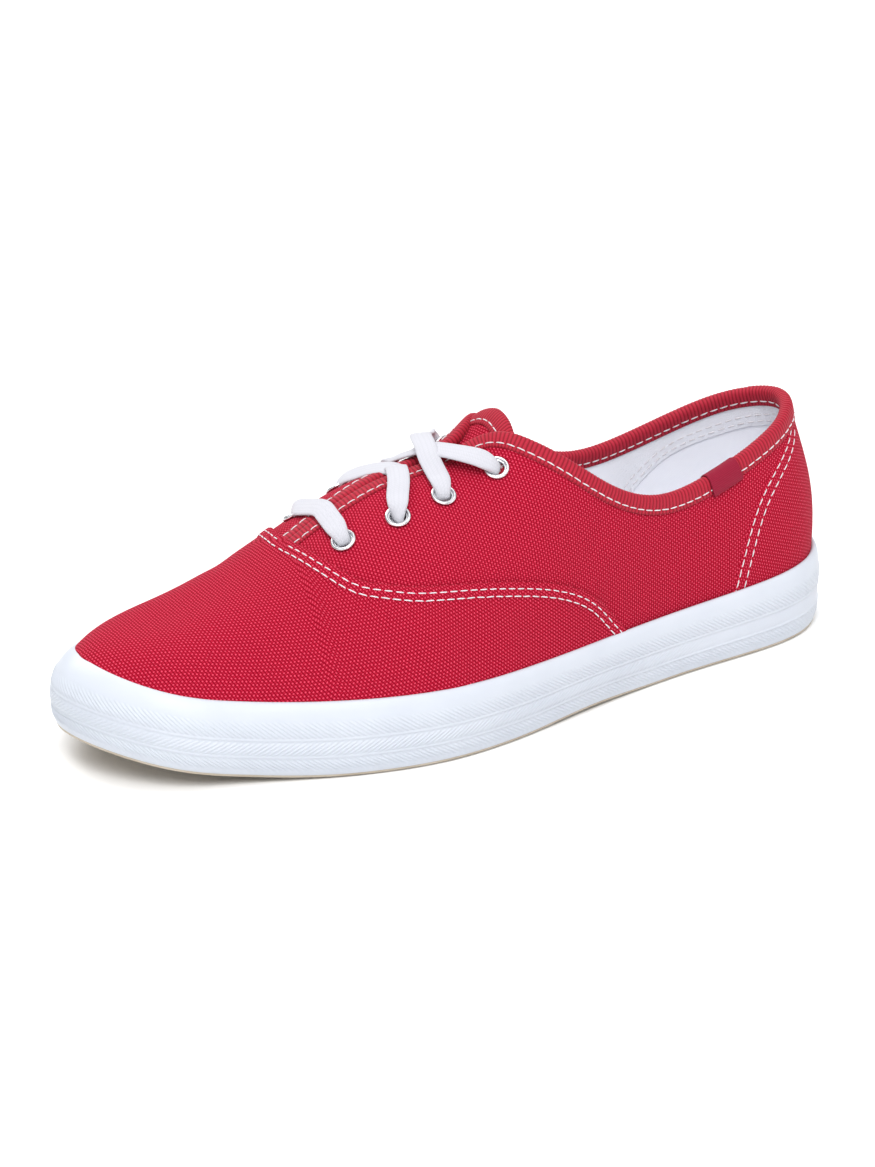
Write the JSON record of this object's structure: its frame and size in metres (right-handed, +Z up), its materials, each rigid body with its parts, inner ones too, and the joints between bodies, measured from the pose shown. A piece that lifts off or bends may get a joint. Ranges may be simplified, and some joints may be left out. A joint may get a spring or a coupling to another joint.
{
  "type": "canvas sneaker",
  "caption": "Low lace-up canvas sneaker with a bound collar, a sewn vamp seam, metal eyelets and a ribbed white rubber foxing on a flat sole.",
  "frame": {"origin": "on the ground, under the middle of the sole's outline", "axes": "+X to the toe, +Y to the wearer's left (the outer side), +Z up"},
  "size_m": [0.2529, 0.0913, 0.0817],
  "materials": {
    "canvas": "plain woven cotton canvas, matte",
    "lining_cloth": "white cotton twill, matte",
    "foxing_rubber": "white moulded rubber, satin",
    "outsole_rubber": "pale gum rubber, matte",
    "eyelet_metal": "bright nickel plate",
    "lace_cotton": "flat woven white cotton, matte"
  },
  "bodies": {
    "root": {"outsole": "outsole_rubber", "foxing": "foxing_rubber", "insole": "lining_cloth", "upper": "canvas", "tongue": "canvas", "eyelet_lateral_1": "eyelet_metal", "eyelet_lateral_2": "eyelet_metal", "eyelet_lateral_3": "eyelet_metal", "eyelet_lateral_4": "eyelet_metal", "eyelet_medial_1": "eyelet_metal", "eyelet_medial_2": "eyelet_metal", "eyelet_medial_3": "eyelet_metal", "eyelet_medial_4": "eyelet_metal", "lace_bar": "lace_cotton", "lace_cross_lower": "lace_cotton", "lace_cross_upper": "lace_cotton"}
  },
  "joints": []
}
